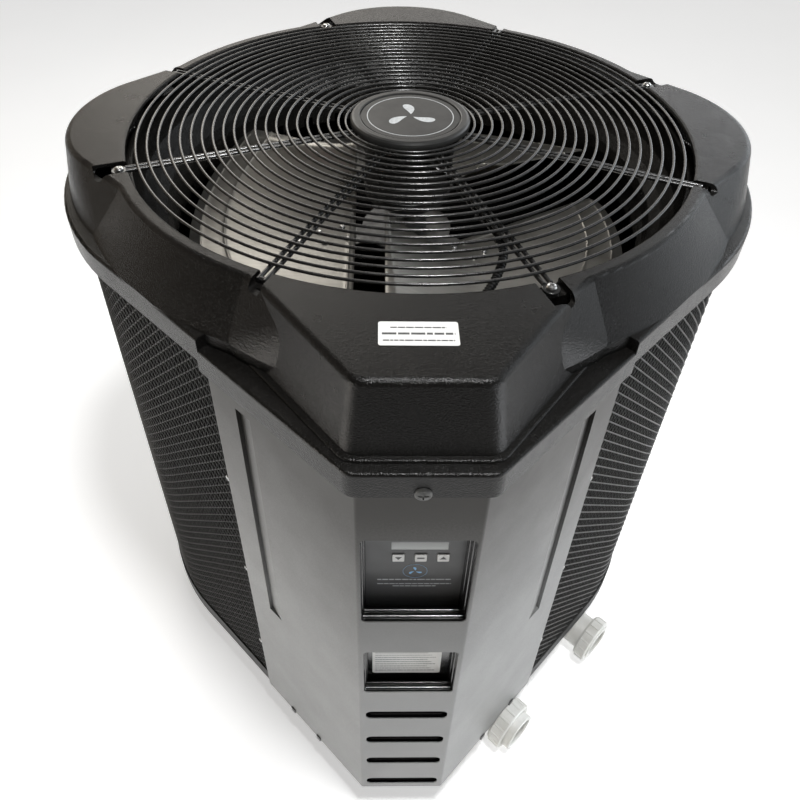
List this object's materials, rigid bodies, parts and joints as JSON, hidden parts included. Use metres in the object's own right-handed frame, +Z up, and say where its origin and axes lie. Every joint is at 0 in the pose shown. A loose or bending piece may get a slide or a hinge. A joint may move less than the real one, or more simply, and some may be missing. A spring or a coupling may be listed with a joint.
{
  "type": "pool heat pump",
  "caption": "Free-standing pool and spa heat pump with wrap-around coil, top discharge fan under a round wire guard, grey front panel with control recess, and two side water unions.",
  "frame": {"origin": "on the floor under the fan axis", "axes": "+Z up along the fan axis; the narrow control face looks along -Y; +X is to the right of someone facing it, where the water unions are"},
  "size_m": [1.06, 1.1511, 1.108],
  "materials": {
    "shroud_plastic": "satin, fine hair-cell grain",
    "base_plastic": "matte moulded",
    "bezel_plastic": "glossy moulded",
    "panel_paint": "satin metallic grey paint",
    "frame_steel": "galvanised",
    "fin_black": "black coated aluminium fins",
    "coil_tube": "dull aluminium",
    "guard_net": "black plastic netting, satin",
    "copper": "copper tube",
    "compressor_paint": "gloss black paint",
    "rubber": "moulded rubber",
    "pvc_white": "white PVC",
    "exchanger_plastic": "black PVC shell",
    "screw_steel": "bright plated steel",
    "dark_screw": "blackened steel",
    "guard_wire": "gloss black powder coat",
    "cap_plastic": "satin black",
    "badge": "plain dark grey disc",
    "motor_paint": "black paint",
    "shaft_steel": "bright steel",
    "blade_aluminium": "mill finish",
    "cable_conduit": "corrugated black conduit",
    "overlay": "printed overlay",
    "lcd": "grey display window",
    "key_white": "white key",
    "label_white": "white label",
    "board_green": "circuit board",
    "device_grey": "electrical device"
  },
  "bodies": {
    "cabinet": {"accumulator": "compressor_paint", "base_pan": "base_plastic", "base_plinth": "base_plastic", "cap_badge": "badge", "coil_end_plates": "frame_steel", "coil_guard": "guard_net", "coil_screws": "screw_steel", "compressor": "compressor_paint", "compressor_mounts": "rubber", "conduit_bushing": "frame_steel", "contactor": "device_grey", "control_bezel": "bezel_plastic", "control_panel": "overlay", "controller_board": "board_green", "discharge_line": "copper", "display_lcd": "lcd", "distributor_lines": "copper", "electrical_box": "frame_steel", "evaporator_fins": "fin_black", "evaporator_tubes": "coil_tube", "exchanger_stand": "frame_steel", "expansion_valve": "copper", "fan_motor": "motor_paint", "filter_drier": "compressor_paint", "frame_posts": "frame_steel", "front_panel": "panel_paint", "guard_cap": "cap_plastic", "guard_rings": "guard_wire", "guard_screws": "screw_steel", "guard_spokes": "guard_wire", "heat_exchanger": "exchanger_plastic", "inlet_pipe": "pvc_white", "inlet_union_socket": "pvc_white", "inlet_union_tail": "pvc_white", "lip_screw": "dark_screw", "liquid_line": "copper", "louvre_insert": "bezel_plastic", "motor_cable": "cable_conduit", "motor_mount": "guard_wire", "notice_label": "label_white", "outlet_pipe": "pvc_white", "outlet_union_socket": "pvc_white", "outlet_union_tail": "pvc_white", "panel_clips": "dark_screw", "rating_bezel": "bezel_plastic", "rating_plate": "label_white", "run_capacitor": "screw_steel", "suction_lines": "copper", "terminal_block": "device_grey", "terminal_cover": "base_plastic", "top_shroud": "shroud_plastic", "venturi_ring": "shroud_plastic"},
    "fan": {"fan_rotor": "shaft_steel", "fan_blades": "blade_aluminium", "blade_rivets": "screw_steel"},
    "inlet_nut": {"inlet_union_nut": "pvc_white"},
    "outlet_nut": {"outlet_union_nut": "pvc_white"},
    "down_key": {"key_down": "key_white"},
    "mode_key": {"key_mode": "key_white"},
    "up_key": {"key_up": "key_white"}
  },
  "joints": [
    {"name": "fan_spin", "type": "hinge", "parent": "cabinet", "child": "fan", "pos_m": [0, 0, 0.93], "axis": [0, 0, 1], "continuous": true},
    {"name": "inlet_nut_turn", "type": "hinge", "parent": "cabinet", "child": "inlet_nut", "pos_m": [0.21496, -0.48225, 0.053], "axis": [0.7071, -0.7071, 0], "continuous": true},
    {"name": "outlet_nut_turn", "type": "hinge", "parent": "cabinet", "child": "outlet_nut", "pos_m": [0.41649, -0.30901, 0.053], "axis": [0.7071, -0.7071, 0], "continuous": true},
    {"name": "down_key_press", "type": "slide", "parent": "cabinet", "child": "down_key", "axis": [0, 1, 0], "range_m": [0, 0.0015], "stiffness_N_per_m": 400},
    {"name": "mode_key_press", "type": "slide", "parent": "cabinet", "child": "mode_key", "axis": [0, 1, 0], "range_m": [0, 0.0015], "stiffness_N_per_m": 400},
    {"name": "up_key_press", "type": "slide", "parent": "cabinet", "child": "up_key", "axis": [0, 1, 0], "range_m": [0, 0.0015], "stiffness_N_per_m": 400}
  ]
}
